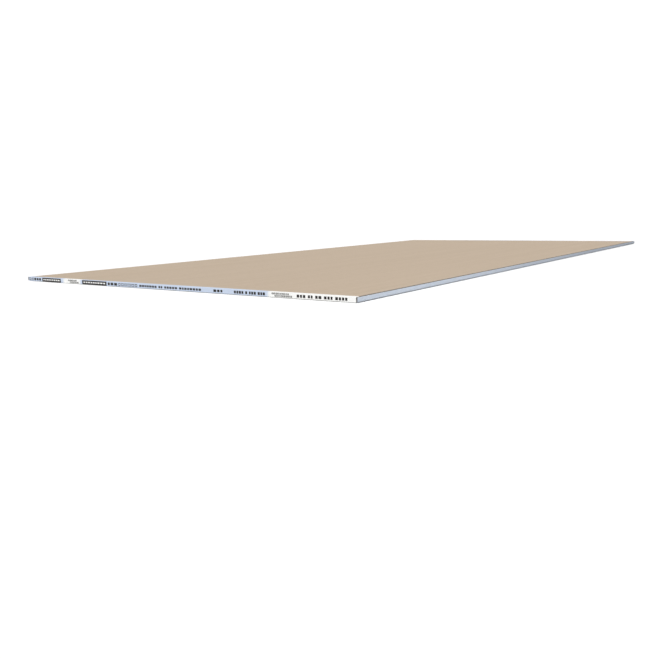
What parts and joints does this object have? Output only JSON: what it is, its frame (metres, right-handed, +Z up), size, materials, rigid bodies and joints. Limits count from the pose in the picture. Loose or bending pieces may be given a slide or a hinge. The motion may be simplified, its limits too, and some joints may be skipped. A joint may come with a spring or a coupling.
{
  "type": "drywall sheet",
  "caption": "Flat gypsum board with paper faces, tapered long edges and a strip of paper tape folded over each cut end, lying back side up.",
  "frame": {"origin": "on the floor under the middle of the sheet, in the plane of the face paper that it lies on", "axes": "+X across the 4 ft width, +Y along the 8 ft length away from the front end, +Z up through the thickness to the back paper"},
  "size_m": [1.2192, 2.439, 0.013],
  "materials": {
    "board_paper": "matte tan back paper; the long edges, the narrow margins beside the back paper and the face underneath are pale blue face paper",
    "end_tape": "matte pale blue and white printed paper tape"
  },
  "bodies": {
    "root": {"drywall_sheet": "board_paper", "end_tape_front": "end_tape", "end_tape_rear": "end_tape"}
  },
  "joints": []
}
